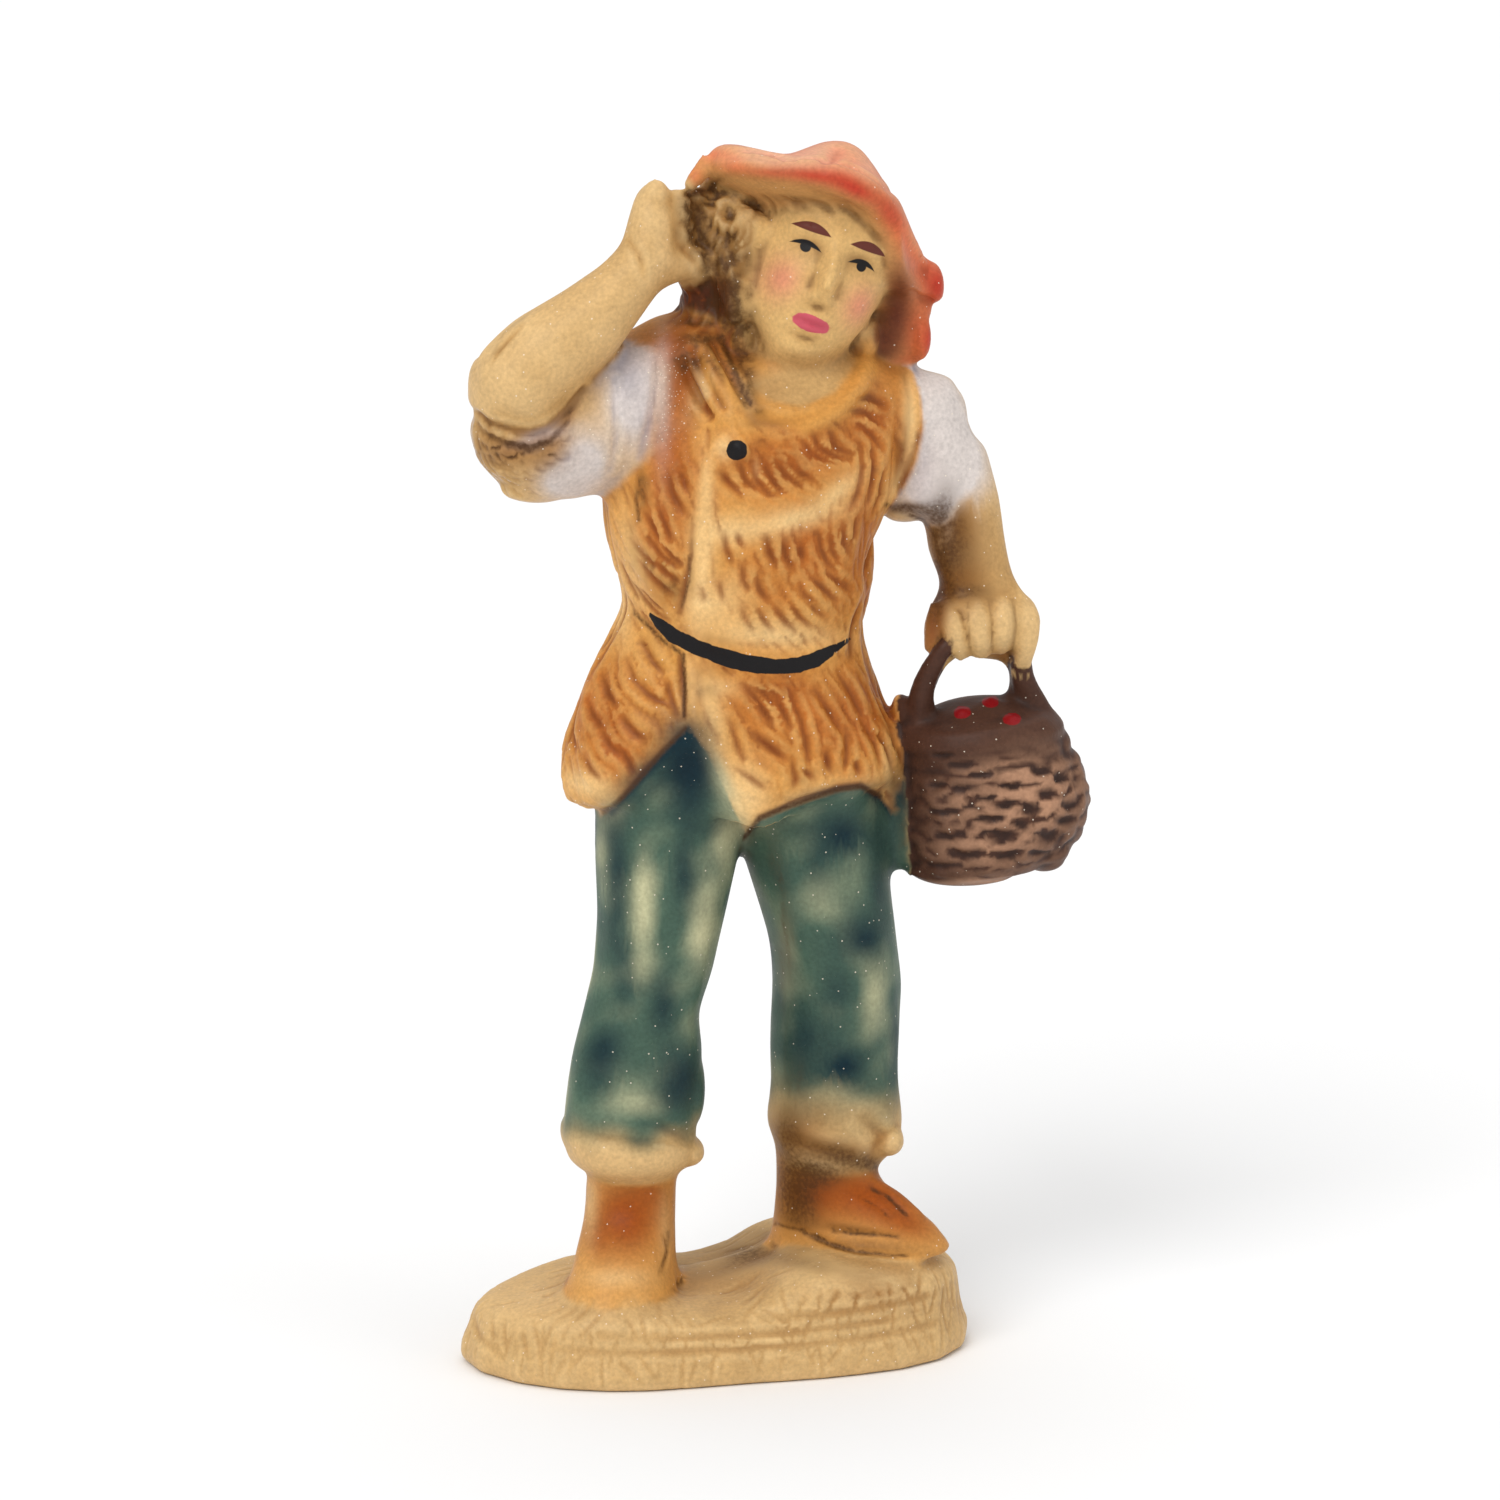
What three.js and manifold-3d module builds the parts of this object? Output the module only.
// A hand-painted nativity figure, cast in one piece with its ground: a herdsman in a fur jerkin
// who lifts one hand to his hat and carries a basket of berries in the other.
// Millimetres, +Z up, -Y the figure's front, +X the side of the basket.
// The origin is on the underside of the ground.
import * as THREE from 'three';
import { LoftGeometry } from 'three/addons/geometries/LoftGeometry.js';
import { mergeVertices } from 'three/addons/utils/BufferGeometryUtils.js';
import Module from 'manifold-3d';

// Driving sizes of the whole casting
const RIM_HEIGHT = 3.2;
const HEM_HEIGHT = 56.3;
const WAIST_HEIGHT = 71.5;
const SHOULDER_HEIGHT = 98;
const HEAD_MIDDLE = [9.4, -1.2, 106.4];
const FINGER = 1.2;

const X = new THREE.Vector3(1, 0, 0);
const Y = new THREE.Vector3(0, 1, 0);
const Z = new THREE.Vector3(0, 0, 1);
const TURN = 2 * Math.PI;

// Joining solids
const wasm = await Module();
wasm.setup();

function solid(geometry) {
  const bare = new THREE.BufferGeometry()
    .setAttribute('position', geometry.getAttribute('position'))
    .setIndex(geometry.index);
  const merged = mergeVertices(bare, 1e-3);
  return new wasm.Manifold(
    new wasm.Mesh({
      numProp: 3,
      vertProperties: new Float32Array(merged.attributes.position.array),
      triVerts: new Uint32Array(merged.index.array),
    }),
  );
}

function geometryOf(joined) {
  const mesh = joined.getMesh();
  return new THREE.BufferGeometry()
    .setAttribute('position', new THREE.BufferAttribute(mesh.vertProperties, 3))
    .setIndex(new THREE.BufferAttribute(mesh.triVerts, 1));
}

const joinAll = (geometries) => geometries.map(solid).reduce((sum, next) => sum.add(next));

// The outer skin alone: forms that overlap can close off tiny pockets inside, and those are filled.
function outerSkin(geometry) {
  const index = geometry.index.array;
  const parent = Array.from({ length: geometry.attributes.position.count }, (_, i) => i);
  const root = (i) => {
    while (parent[i] !== i) i = parent[i];
    return i;
  };
  for (let i = 0; i < index.length; i += 3) {
    parent[root(index[i + 1])] = root(index[i]);
    parent[root(index[i + 2])] = root(index[i]);
  }
  const shells = new Map();
  for (let i = 0; i < index.length; i += 3) {
    const shell = shells.get(root(index[i])) ?? [];
    shell.push(index[i], index[i + 1], index[i + 2]);
    shells.set(root(index[i]), shell);
  }
  const largest = [...shells.values()].reduce((a, b) => (a.length > b.length ? a : b));
  return geometry.setIndex(largest);
}

// Numbers and curves
const radians = (degrees) => (degrees * Math.PI) / 180;
const mix = (a, b, share) => a + (b - a) * share;

function smoothStep(from, to, at) {
  const share = Math.min(1, Math.max(0, (at - from) / (to - from)));
  return share * share * (3 - 2 * share);
}

// A bump of height 1 at an angle in degrees that dies away over a width either side of it.
function bump(angle, middle, width) {
  const apart = ((((angle * 360) / TURN - middle + 180) % 360) + 360) % 360 - 180;
  return Math.exp(-((apart / width) ** 2));
}

// A smooth closed function of an angle through values spaced evenly round a turn, the first at 0.
function around(values) {
  const n = values.length;
  return (angle) => {
    const s = ((((angle / TURN) % 1) + 1) % 1) * n;
    const i = Math.floor(s);
    const f = s - i;
    const [a, b, c, d] = [-1, 0, 1, 2].map((k) => values[(i + k + n) % n]);
    return b + 0.5 * f * (c - a + f * (2 * a - 5 * b + 4 * c - d + f * (3 * (b - c) + d - a)));
  };
}

// A smooth function through [at, value] knots.
function through(knots) {
  const points = knots.map(([at, value]) => new THREE.Vector3(at, value, 0));
  const curve = new THREE.CatmullRomCurve3(points, false, 'catmullrom');
  return (at) => {
    let i = knots.findIndex(([next]) => next > at);
    if (i < 0) i = knots.length - 1;
    i = Math.max(1, i);
    const share = (at - knots[i - 1][0]) / (knots[i][0] - knots[i - 1][0]);
    return curve.getPoint((i - 1 + Math.min(1, Math.max(0, share))) / (knots.length - 1)).y;
  };
}

// Forms
const DOME_ANGLE = radians(62); // where the one ring of a rounded end lies

// A closed form lofted through stations [x, y, z, half width, half depth]. The width lies along
// wideAxis. Level forms keep every section horizontal. relief(angle, share) moves the surface out,
// in millimetres, and domes are the share of roundness given to the start and the end.
function limb(stations, options = {}) {
  const { sides = 14, steps = 2, wideAxis = X, level = false } = options;
  const { square = 2, relief = () => 0, domes = [1, 1] } = options;
  const middles = stations.map(([x, y, z]) => new THREE.Vector3(x, y, z));
  const halves = stations.map(([, , , wide, deep]) => new THREE.Vector3(wide, deep, 0));
  const path = new THREE.CatmullRomCurve3(middles, false, 'catmullrom');
  const size = new THREE.CatmullRomCurve3(halves, false, 'catmullrom');
  const sections = [];
  const ring = (share, shrink, slide) => {
    const tangent = level ? Z.clone() : path.getTangent(share);
    const wide = wideAxis.clone().addScaledVector(tangent, -wideAxis.dot(tangent)).normalize();
    const deep = new THREE.Vector3().crossVectors(tangent, wide);
    const { x: halfWide, y: halfDeep } = size.getPoint(share);
    const centre = path.getPoint(share).addScaledVector(tangent, slide * Math.min(halfWide, halfDeep));
    sections.push(
      Array.from({ length: sides }, (_, i) => {
        const angle = (TURN * i) / sides;
        const [c, s] = [Math.cos(angle), Math.sin(angle)];
        const full = (Math.abs(c) ** square + Math.abs(s) ** square) ** (-1 / square);
        const out = relief(angle, share) * shrink;
        return centre
          .clone()
          .addScaledVector(wide, c * (halfWide * full * shrink + out))
          .addScaledVector(deep, s * (halfDeep * full * shrink + out));
      }),
    );
  };
  const count = (stations.length - 1) * steps;
  const shrink = Math.cos(DOME_ANGLE);
  const rise = Math.sin(DOME_ANGLE);
  if (domes[0]) ring(0, shrink, -rise * domes[0]);
  for (let i = 0; i <= count; i++) ring(i / count, 1, 0);
  if (domes[1]) ring(1, shrink, rise * domes[1]);
  return new LoftGeometry(sections, { capStart: true, capEnd: true });
}

// An ellipsoid at [x, y, z] with three half sizes, turned by Euler angles in degrees.
function pebble([x, y, z], [a, b, c], turn = [0, 0, 0], detail = [10, 7]) {
  return new THREE.SphereGeometry(1, ...detail)
    .rotateX(Math.PI / 2)
    .scale(a, b, c)
    .applyMatrix4(new THREE.Matrix4().makeRotationFromEuler(new THREE.Euler(...turn.map(radians))))
    .translate(x, y, z);
}

// A cord that closes on itself through [x, y, z] points.
function loop(points, radius, steps) {
  const path = new THREE.CatmullRomCurve3(points.map((p) => new THREE.Vector3(...p)), true);
  return new THREE.TubeGeometry(path, steps, radius, 4, true);
}

// The ground: an oblong mound that rises to the right foot, with a low upright rim
const GROUND_REACH = around([
  25, 22.4, 18.8, 15.2, 13.8, 14, 16.6, 21.8, 25.9, 23.4, 18.7, 14.7, 13.1, 13.9, 17, 22.4,
]);
const GROUND_TOP = through([
  [-26, 6.8], [-19, 7.4], [-13, 8.3], [-4, 7.2], [1, 7.4], [7, 10.5], [14, 10.4], [26, 9.6],
]);
const RIM_STEP = 0.9; // how far the ground starts above the rim
const HIGH_SIDE = 10; // the rings of the ground close up towards its higher side, under the left boot

function groundHeight(x, y, share) {
  const steepness = mix(8, 11, smoothStep(4, 20, x));
  const swell = Math.sqrt(Math.max(0, 1 - share ** steepness));
  const ripple = 0.18 * Math.sin(1.3 * x + 0.6 * y) * swell;
  return mix(RIM_HEIGHT + RIM_STEP, GROUND_TOP(x), swell) + ripple;
}

function ground() {
  const sides = 32;
  const outline = (share, height) =>
    Array.from({ length: sides }, (_, i) => {
      const angle = (TURN * i) / sides;
      const reach = GROUND_REACH(angle) * share;
      const x = Math.cos(angle) * reach + HIGH_SIDE * (1 - share) ** 2;
      const y = Math.sin(angle) * reach;
      return new THREE.Vector3(x, y, height(x, y, share));
    });
  const rim = [
    [0.98, () => 0],
    [1.0, () => 0.8],
    [0.995, () => RIM_HEIGHT - 0.5],
    [0.97, () => RIM_HEIGHT],
  ];
  const top = [0.95, 0.9, 0.8, 0.64, 0.4, 0.14].map((share) => [share, groundHeight]);
  const rings = [...rim, ...top].map(([share, height]) => outline(share, height));
  return new LoftGeometry(rings, { capStart: true, capEnd: true });
}

// Legs in loose trousers that are gathered over the boots
const RIGHT_LEG = [
  [-8.7, -1.4, 18.6, 4.2, 4.2],
  [-8.9, -1.6, 20.0, 6.5, 6.0],
  [-9.4, -1.5, 22.4, 6.6, 6.2],
  [-9.0, -1.3, 26.4, 6.6, 6.2],
  [-8.3, -1.3, 30.6, 6.5, 6.0],
  [-7.8, -1.3, 34.6, 5.7, 5.9],
  [-6.5, -1.1, 39.0, 5.9, 6.4],
  [-5.8, -0.7, 44.0, 6.3, 7.0],
  [-5.2, -0.2, 50.0, 7.1, 7.6],
  [-4.4, 0.2, 58.0, 7.6, 7.8],
];
const LEFT_LEG = [
  [11.4, 0.8, 18.2, 4.8, 4.6],
  [11.9, 1.2, 19.8, 6.2, 5.8],
  [11.7, 1.2, 22.4, 6.9, 6.3],
  [11.8, 1.0, 26.4, 6.3, 6.2],
  [11.7, 0.7, 31.0, 6.5, 6.3],
  [11.8, 0.4, 36.0, 6.4, 6.5],
  [11.3, 0.2, 40.0, 6.3, 6.8],
  [10.5, 0.1, 44.0, 6.6, 7.2],
  [9.3, 0.4, 50.0, 7.2, 7.6],
  [7.6, 0.6, 58.0, 8.2, 8.0],
];

const trouserFolds = (phase) => (angle, share) =>
  (0.3 * Math.sin(3 * angle + phase + 7 * share) + 0.15 * Math.sin(5 * angle - 13 * share + phase)) *
  Math.sin(Math.PI * Math.min(1, share * 1.15));

function legs() {
  const shape = { level: true, sides: 14, steps: 1, domes: [0, 0] };
  return [
    limb(RIGHT_LEG, { ...shape, relief: trouserFolds(0.6) }),
    limb(LEFT_LEG, { ...shape, relief: trouserFolds(2.4) }),
  ];
}

// Boots: level sections [along the foot, half length, half width, height over the sole], heel at 0
const BOOT = [
  [0.50, 0.5, 0.5, 0],
  [0.50, 0.5, 0.5, 1.1],
  [0.485, 0.465, 0.45, 1.5],
  [0.47, 0.45, 0.45, 2.6],
  [0.41, 0.38, 0.44, 4.2],
  [0.34, 0.3, 0.42, 6.0],
  [0.3, 0.26, 0.42, 8.0],
  [0.3, 0.26, 0.42, 10.4],
];

function boot([heelX, heelY], [toeX, toeY], width, soleHeight) {
  const foot = new THREE.Vector3(toeX - heelX, toeY - heelY, 0);
  const length = foot.length();
  const across = new THREE.Vector3().crossVectors(foot, Z).normalize();
  const stations = BOOT.map(([along, halfLong, halfWide, height]) => [
    heelX + foot.x * along,
    heelY + foot.y * along,
    soleHeight + height,
    halfWide * width,
    halfLong * length,
  ]);
  const shape = { level: true, sides: 14, steps: 1, square: 2.3, domes: [0, 0] };
  return limb(stations, { ...shape, wideAxis: across });
}

const boots = () => [
  boot([-7.1, 3.6], [-13.2, -11.0], 10.7, 7.9),
  boot([5.5, 3.2], [22.0, -6.2], 9.0, 10.0),
];

// The fur jerkin: a skirt that flares below the belt, and a body above it
const FRONT_EDGE = 243; // degrees, where the front panel overlaps the other one

const hemHeight = (angle) =>
  HEM_HEIGHT +
  6.6 * bump(angle, 249, 11) -
  2.8 * bump(angle, 272, 11) -
  1.2 * bump(angle, 195, 30) +
  0.5 * Math.sin(9 * angle);

const furLocks = (rows, lean) => (angle, share) => {
  const row = share * rows;
  const along = row % 1;
  const lock = Math.cos(10 * angle + Math.PI * Math.floor(row) + lean * row);
  return 0.36 * lock * (0.3 + 0.7 * Math.sin(Math.PI * (1 - along) * 0.8));
};

const SKIRT_MIDDLE = through([[0, 1.1], [0.5, 1.1], [0.8, 1.8], [1, 2.4]]);
const SKIRT_WIDE = through([
  [0, 16.6], [0.2, 16.5], [0.43, 15.2], [0.65, 13.8], [0.84, 12.4], [1, 11.4],
]);
const SKIRT_DEEP = through([[0, 11.2], [0.3, 11.0], [0.7, 9.6], [1, 8.4]]);

function skirt() {
  const sides = 30;
  const rings = [
    [0, -1.8, -0.1],
    [0, -0.3, 0],
    ...[0.12, 0.3, 0.48, 0.66, 0.84, 1].map((share) => [share, 0, 0]),
  ];
  const locks = furLocks(2.4, 1.6);
  const sections = rings.map(([share, inset, lift]) =>
    Array.from({ length: sides }, (_, i) => {
      const angle = (TURN * i) / sides;
      const opening = -0.7 * bump(angle, FRONT_EDGE + 3, 7) * smoothStep(0.1, 0.4, share);
      const beside = bump(angle, 0, 26) * (1 - smoothStep(0.35, 0.55, share)); // towards the basket
      const out = inset || locks(angle, share) + opening + beside;
      return new THREE.Vector3(
        SKIRT_MIDDLE(share) + Math.cos(angle) * (SKIRT_WIDE(share) + out),
        0.1 + Math.sin(angle) * (SKIRT_DEEP(share) + out),
        mix(hemHeight(angle), beltHeight(angle) + 0.6, share) + lift,
      );
    }),
  );
  return new LoftGeometry(sections, { capStart: true, capEnd: true });
}

const CHEST = [
  [2.2, 0.0, WAIST_HEIGHT - 3.5, 9.4, 6.6],
  [2.2, 0.0, WAIST_HEIGHT - 0.5, 10.6, 8.0],
  [2.6, 0.0, WAIST_HEIGHT + 3, 11.6, 9.2],
  [1.9, 0.0, 79, 12.3, 9.6],
  [2.7, 0.2, 84, 13.9, 9.4],
  [3.6, 0.3, 88.5, 14.0, 9.4],
  [4.8, 0.6, 93, 13.0, 8.4],
  [5.7, 1.0, SHOULDER_HEIGHT - 0.6, 10.8, 6.4],
];

function chest() {
  const locks = furLocks(4.6, 1.3);
  const relief = (angle, share) => {
    const degrees = (((angle * 360) / TURN) % 360 + 360) % 360;
    const overlap = smoothStep(FRONT_EDGE - 5, FRONT_EDGE + 4, degrees);
    const panel = overlap * (1 - smoothStep(285, 340, degrees));
    const even = 1 - 0.7 * bump(angle, FRONT_EDGE + 6, 12);
    const fur = locks(angle, share) * even * (1 - smoothStep(0.85, 1, share));
    return fur + 0.7 * panel * smoothStep(0.1, 0.3, share);
  };
  return limb(CHEST, { level: true, sides: 26, steps: 2, square: 2.25, domes: [0, 0.4], relief });
}

const shoulders = () => [
  pebble([-3.2, 1.0, 96.8], [7.0, 5.6, 5.4], [0, 10, 0], [10, 6]),
  pebble([14.2, 0.8, 92.4], [5.2, 6.0, 4.6], [0, 26, 0], [10, 6]),
];

const beltHeight = around([
  71.8, 72.2, 72.6, 73, 73, 73.2, 73.6, 74, 74.2, 74.2, 73.4, 71, 69.6, 69.6, 70.4, 71.2,
]);

// Belt, collar, folded lapel and the button with its hole
function trimmings() {
  const belt = Array.from({ length: 24 }, (_, i) => {
    const angle = (TURN * i) / 24;
    return [2.3 + 11.1 * Math.cos(angle), 8.7 * Math.sin(angle), beltHeight(angle) + 0.6];
  });
  const collar = [
    [0.2, -4.0, 96.6], [3.0, -7.4, 93.4], [6.8, -8.4, 92.6], [10.6, -7.6, 94.2], [13.4, -4.4, 96.8],
    [13.6, 1.0, 98.2], [10.4, 5.0, 99.4], [5.0, 5.6, 100.2], [0.4, 3.4, 100.4], [-0.8, -0.6, 99.4],
  ];
  const lapel = [
    [-3.0, -2.4, 100.4, 1.9, 1.1],
    [-1.7, -5.2, 97.2, 1.9, 1.1],
    [0.0, -7.8, 93.4, 1.5, 1.0],
    [1.0, -9.0, 91.2, 0.8, 0.7],
  ];
  return [
    loop(belt, 0.85, 24),
    loop(collar, 1.15, 17),
    limb(lapel, { sides: 6, steps: 1, domes: [0.6, 0.6] }),
    pebble([0.3, -9.9, 90.4], [1.25, 0.8, 1.1], [0, 0, -8], [8, 5]),
  ];
}

// Arms: the figure's right hand is at the hat, the left one holds the basket
const RIGHT_SLEEVE = [
  [1, 0.8, 94.0, 5, 6.5],
  [-5, 0.6, 93.6, 6.0, 7.6],
  [-10.5, 0.2, 92.4, 6.0, 7.1],
  [-15.3, -0.6, 90.4, 5.6, 6.0],
  [-18.8, -1.2, 90.7, 5.1, 5.0],
  [-21.9, -1.4, 92.2, 4.0, 3.3],
];
const RIGHT_FOREARM = [
  [-20.4, -3.4, 95.6, 4.4, 4.7],
  [-16.7, -3.8, 99.2, 4.4, 4.5],
  [-12.9, -3.8, 102.0, 3.9, 3.9],
  [-9.6, -3.4, 105.2, 3.4, 3.1],
  [-7.2, -3.0, 108.0, 3.0, 2.9],
  [-6.8, -2.6, 111.2, 2.6, 2.4],
  [-6.6, -2.2, 113.7, 2.0, 1.8],
];
const LEFT_SLEEVE = [
  [15.2, 0.6, 92.8, 4.6, 5.4],
  [19.8, 0.5, 91.8, 4.9, 5.2],
  [21.2, 0.2, 87.8, 4.3, 4.9],
  [19.9, -0.2, 82.8, 4.1, 4.4],
];
const LEFT_FOREARM = [
  [22.8, -0.4, 88.6, 3.2, 3.4],
  [23.6, -0.6, 83.6, 3.8, 3.5],
  [23.9, -1.0, 79.6, 4.0, 3.3],
  [24.8, -1.3, 76.6, 3.6, 3.1],
  [25.2, -1.4, 73.8, 4.3, 3.2],
];

function arms() {
  // the fur that turns back over the end of the raised sleeve stands out round it in tufts
  const cuff = (angle, share) =>
    smoothStep(0.6, 0.72, share) * (0.35 + 0.3 * Math.sin(5 * angle + 24 * share));
  return [
    limb(RIGHT_SLEEVE, { sides: 12, wideAxis: Y, domes: [0, 0.6], relief: cuff }),
    limb(RIGHT_FOREARM, { sides: 14, steps: 1, wideAxis: Y, domes: [0.85, 0.8] }),
    limb(LEFT_SLEEVE, { sides: 12, steps: 1, domes: [0, 0.2] }),
    limb(LEFT_FOREARM, { sides: 12, steps: 1, domes: [0.5, 0.5] }),
  ];
}

function hands() {
  const heelOfRightHand = limb(
    [
      [-7.0, -3.0, 106.8, 2.2, 2.4],
      [-4.4, -2.8, 107.2, 2.0, 2.0],
      [-2.4, -2.4, 107.0, 1.5, 1.1],
    ],
    { sides: 8, steps: 1, wideAxis: Y, domes: [0.6, 0.8] },
  );
  const parts = [
    heelOfRightHand,
    pebble([26.0, -1.2, 71.4], [4.5, 3.4, 3.4], [0, 4, 0], [12, 7]),
    pebble([21.6, -0.8, 71.6], [1.9, 2.5, 3.6], [0, 12, 0], [8, 6]),
  ];
  for (const [i, drop] of [0.2, 0.3, 0.9, -0.6].entries()) {
    const x = 22.7 + 2.05 * i;
    const lean = [0.9, 0.6, 0.3, 0.1][i];
    parts.push(
      limb(
        [
          [x, -2.6, 75.2 - 0.25 * i, FINGER, FINGER],
          [x + lean * 0.5, -5.0, 73.0 - 0.2 * i, FINGER, FINGER],
          [x + lean, -4.6, 70.0 + drop, FINGER * 0.95, FINGER],
        ],
        { sides: 6, steps: 1, domes: [1, 1] },
      ),
    );
  }
  return parts;
}

// Head, neck and face, modelled upright about the middle of the head and then tilted
const turned = ([x, y, z], { roll, yaw, nod }) =>
  new THREE.Matrix4()
    .makeTranslation(x, y, z)
    .multiply(new THREE.Matrix4().makeRotationZ(radians(yaw)))
    .multiply(new THREE.Matrix4().makeRotationY(radians(roll)))
    .multiply(new THREE.Matrix4().makeRotationX(radians(nod)));

const HEAD_TURN = turned(HEAD_MIDDLE, { roll: 20, yaw: -4, nod: -4 });
const HEAD = [
  [0, -3.4, -9.0, 2.5, 2.4],
  [0, -2.0, -6.6, 4.7, 5.0],
  [0, -0.9, -3.6, 6.0, 6.8],
  [0, -0.2, 0.2, 6.8, 7.8],
  [0, 0.2, 4.0, 7.0, 8.0],
  [0, 0.6, 7.0, 6.0, 7.0],
];

function face() {
  const parts = [
    limb(HEAD, { level: true, sides: 18, steps: 1, domes: [0.5, 0.6] }),
    limb(
      [
        [0, -7.5, 2.6, 0.7, 0.9],
        [0, -8.3, 0.4, 0.8, 1.1],
        [0, -8.8, -1.6, 1.2, 1.1],
      ],
      { sides: 6, steps: 1, domes: [0.6, 0.7] },
    ),
    pebble([0, -7.2, -4.4], [1.7, 0.9, 0.9], [0, 0, 0], [8, 5]),
  ];
  for (const side of [-1, 1]) {
    parts.push(pebble([side * 3.0, -6.5, 2.9], [2.2, 1.0, 0.7], [0, side * 6, side * 18], [8, 5]));
  }
  return parts;
}

const neck = () =>
  limb(
    [
      [6.6, 0.4, 91.5, 6.0, 5.6],
      [7.0, -0.4, 96.5, 5.0, 5.0],
      [8.0, 0.0, 102, 5.0, 5.2],
    ],
    { level: true, sides: 12, steps: 1, domes: [0, 0] },
  );

// The soft hat is pushed back: its brim is rolled up on one side and hangs in two lobes on the other
const HAT_TURN = turned([9.1, -1.0, 106.6], { roll: 26, yaw: 0, nod: 0 });
const BRIM_REACH = around([
  12, 11.6, 10.4, 9.8, 9.4, 9.8, 11.2, 13.2, 14.3, 14, 12.8, 11.5, 10.6, 10, 9.8, 10.6,
]);
const BRIM_EDGE = around([1, -2, -4.4, -5.5, -5, -4, -2, 1, 3.4, 4.2, 5.6, 7.4, 7.8, 6.2, 2.6, 1.4]);
const BRIM_ROLL = around([1.2, 1, 1, 1, 1, 1, 1.4, 2.6, 3.4, 2.8, 1.8, 1.4, 1.4, 1.4, 1.4, 1.4]);
const CROWN_REACH = around([8.6, 9, 8.4, 8.2, 8, 8.2, 8.2, 8, 7.4, 8, 8.8, 9.4, 9.4, 8.8, 8.2, 8.2]);
const CROWN_FOOT = around([5, 3.2, 2, 1.4, 1.6, 2.4, 4, 6.4, 7.8, 8.4, 9, 9.6, 9.6, 8.8, 7.2, 6]);

function hat() {
  const sides = 28;
  const ring = (reach, height, [shiftX, shiftY] = [0, 0]) =>
    Array.from({ length: sides }, (_, i) => {
      const angle = (TURN * i) / sides;
      const x = shiftX + Math.cos(angle) * reach(angle);
      const y = shiftY + Math.sin(angle) * reach(angle);
      return new THREE.Vector3(x, y, height(angle));
    });
  const brim = (inset, lift) =>
    ring(
      (a) => BRIM_REACH(a) - inset,
      (a) => BRIM_EDGE(a) + BRIM_ROLL(a) * lift,
    );
  const crown = (share, top, shift) =>
    ring(
      (a) => CROWN_REACH(a) * share,
      (a) => mix(top, CROWN_FOOT(a), share ** 1.5),
      shift,
    );
  return new LoftGeometry(
    [
      ring(() => 5, () => 0),
      ring((a) => Math.min(7.4, BRIM_REACH(a) - 2.4), (a) => BRIM_EDGE(a) * 0.8),
      brim(0.9, -0.1),
      brim(0.1, 0.3),
      brim(0.4, 0.85),
      brim(1.6, 1.05),
      crown(1, 11.4, [0, 0]),
      crown(0.72, 11.2, [-0.7, 0.4]),
      crown(0.4, 11.9, [-1.4, 0.6]),
      crown(0.14, 12.1, [-1.7, 0.6]),
    ],
    { capStart: true, capEnd: true },
  );
}

// The two lobes of the brim that hang beside the cheek
const lobes = () => [
  pebble([17.8, -0.8, 104.6], [3.6, 2.6, 4.2], [0, -30, 0], [10, 6]),
  pebble([17.2, 0.4, 100.0], [3.4, 2.8, 3.8], [0, 8, 0], [10, 6]),
];

// Hair: full at the side of the raised hand and in the nape
function hair() {
  // [x, y, z] of the root, how far the lock falls, and which way it swings
  const locks = [
    [-2.2, -0.8, 114.4, 5.6, -1], [-2.4, -0.4, 108.6, 6.0, -1], [1.9, -3.4, 112.4, 5.4, 1],
    [1.6, -3.4, 107.2, 5.6, -1], [-0.2, -1.6, 103.6, 4.4, 1], [0.8, 5.2, 106.2, 6.4, 1],
    [5.6, 8.0, 105.4, 6.2, -1],
  ];
  const lock = ([x, y, z, fall, swing]) =>
    limb(
      [
        [x, y, z, 1.2, 1.1],
        [x + swing * 0.9, y - 0.3, z - fall * 0.35, 1.9, 1.5],
        [x - swing * 0.3, y - 0.2, z - fall * 0.7, 1.8, 1.5],
        [x + swing * 0.5, y, z - fall, 1.0, 1.0],
      ],
      { sides: 5, steps: 1, domes: [0, 0.6] },
    );
  return [
    pebble([9.6, 2.4, 106], [8.0, 6.6, 7.4], [0, 18, 0], [10, 6]),
    pebble([1.9, 1.0, 108.0], [6.2, 4.4, 7.4], [0, 0, 0], [10, 6]),
    pebble([3.0, 3.0, 102.0], [6.8, 4.8, 4.8], [0, 0, 0], [10, 6]),
    ...locks.map(lock),
  ];
}

const head = () => [
  neck(),
  ...face().map((g) => g.applyMatrix4(HEAD_TURN)),
  hat().applyMatrix4(HAT_TURN),
  ...lobes(),
  ...hair(),
];

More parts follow.
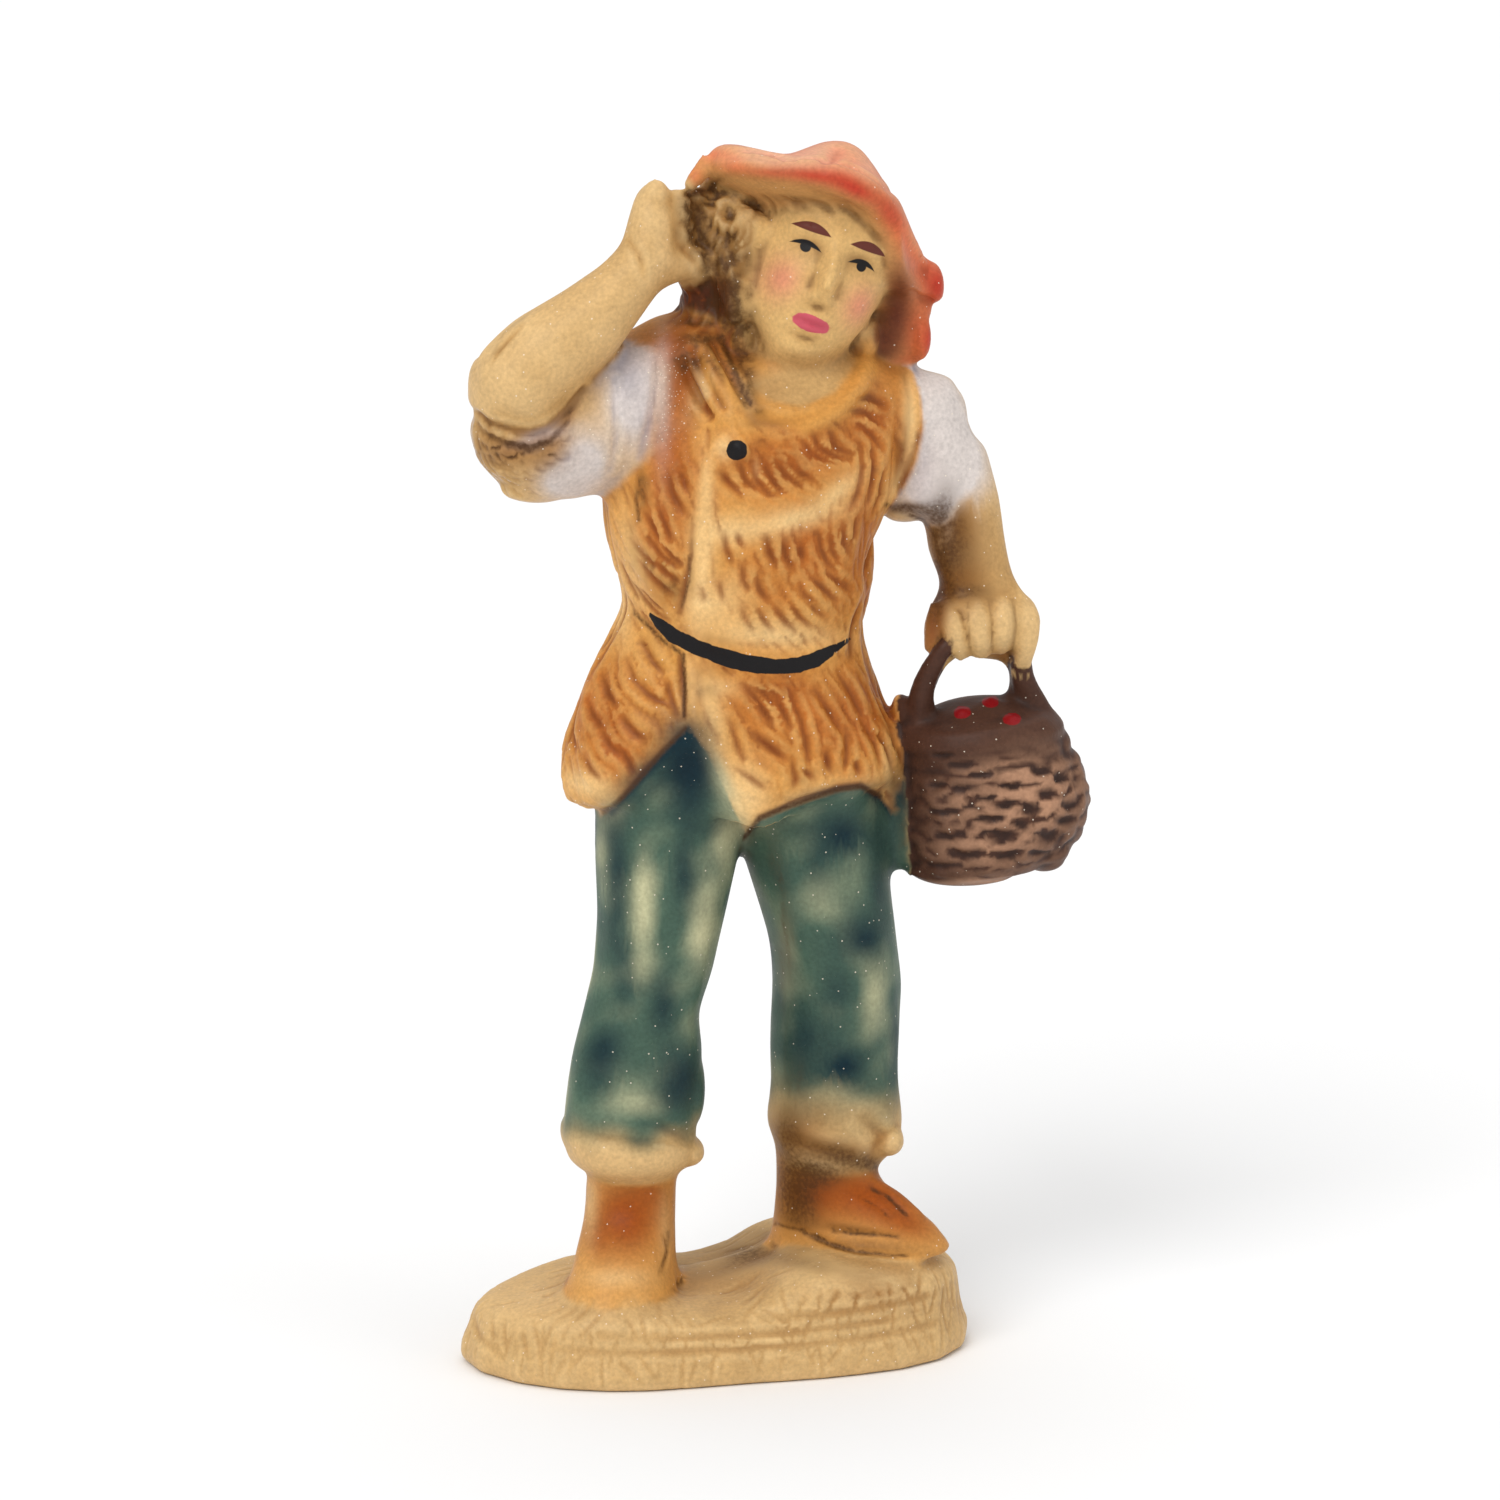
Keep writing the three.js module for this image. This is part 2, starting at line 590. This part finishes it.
// The basket, full to the rim, joined to the thigh by a web of flash
const BASKET = [
  [25.9, -2.0, 47.2, 7.0, 5.6],
  [26.1, -2.0, 48.6, 7.2, 5.9],
  [27.2, -2.0, 50.2, 8.5, 6.8],
  [28.0, -2.0, 53.4, 9.3, 7.3],
  [27.6, -2.0, 56.8, 8.7, 7.2],
  [27.2, -2.0, 60.0, 7.8, 6.9],
  [27.0, -2.0, 60.8, 8.1, 7.1],
  [26.5, -2.0, 62.8, 7.7, 6.9],
];
const HANDLE = [
  [18.9, -2.6, 61.0, 1.5, 1.5],
  [19.2, -2.8, 65.0, 1.4, 1.4],
  [20.7, -3.2, 68.4, 1.25, 1.25],
  [23.6, -2.4, 70.2, 1.1, 1.1],
  [27.2, -2.0, 70.0, 1.1, 1.1],
  [29.1, -2.0, 67.2, 1.3, 1.3],
  [29.5, -2.0, 64.2, 1.6, 1.8],
  [29.6, -2.0, 61.0, 1.9, 2.2],
];

const weave = (angle, share) =>
  0.3 * Math.cos(9 * angle + Math.PI * Math.floor(share * 7)) * Math.sin(7 * Math.PI * share) ** 2;

const BASKET_TURN = turned([25.5, -2, 46], { roll: -6, yaw: 0, nod: 0 }).multiply(
  new THREE.Matrix4().makeTranslation(-25.5, 2, -46),
);

const basket = () => [
  limb(BASKET, { level: true, sides: 18, domes: [0, 0], relief: weave }).applyMatrix4(BASKET_TURN),
  pebble([25.4, -1.6, 62.0], [6.9, 6.0, 2.6], [0, -3, 0], [12, 6]),
  limb(HANDLE, { sides: 6, steps: 1, wideAxis: Y, domes: [0, 0] }),
  pebble([17.5, -0.6, 53.2], [2.2, 2.6, 6.2], [0, -4, 0], [8, 6]),
];

// The whole casting
const figure = joinAll([
  ground(),
  ...boots(),
  ...legs(),
  skirt(),
  chest(),
  ...shoulders(),
  ...trimmings(),
  ...arms(),
  ...hands(),
  ...head(),
  ...basket(),
]);
const painted = new THREE.MeshStandardMaterial({ color: 0xc9a468, roughness: 0.55, metalness: 0 });
const mesh = new THREE.Mesh(outerSkin(geometryOf(figure)), painted);
mesh.name = 'herdsman_figure';

const part = new THREE.Group();
part.add(mesh);
export default part;
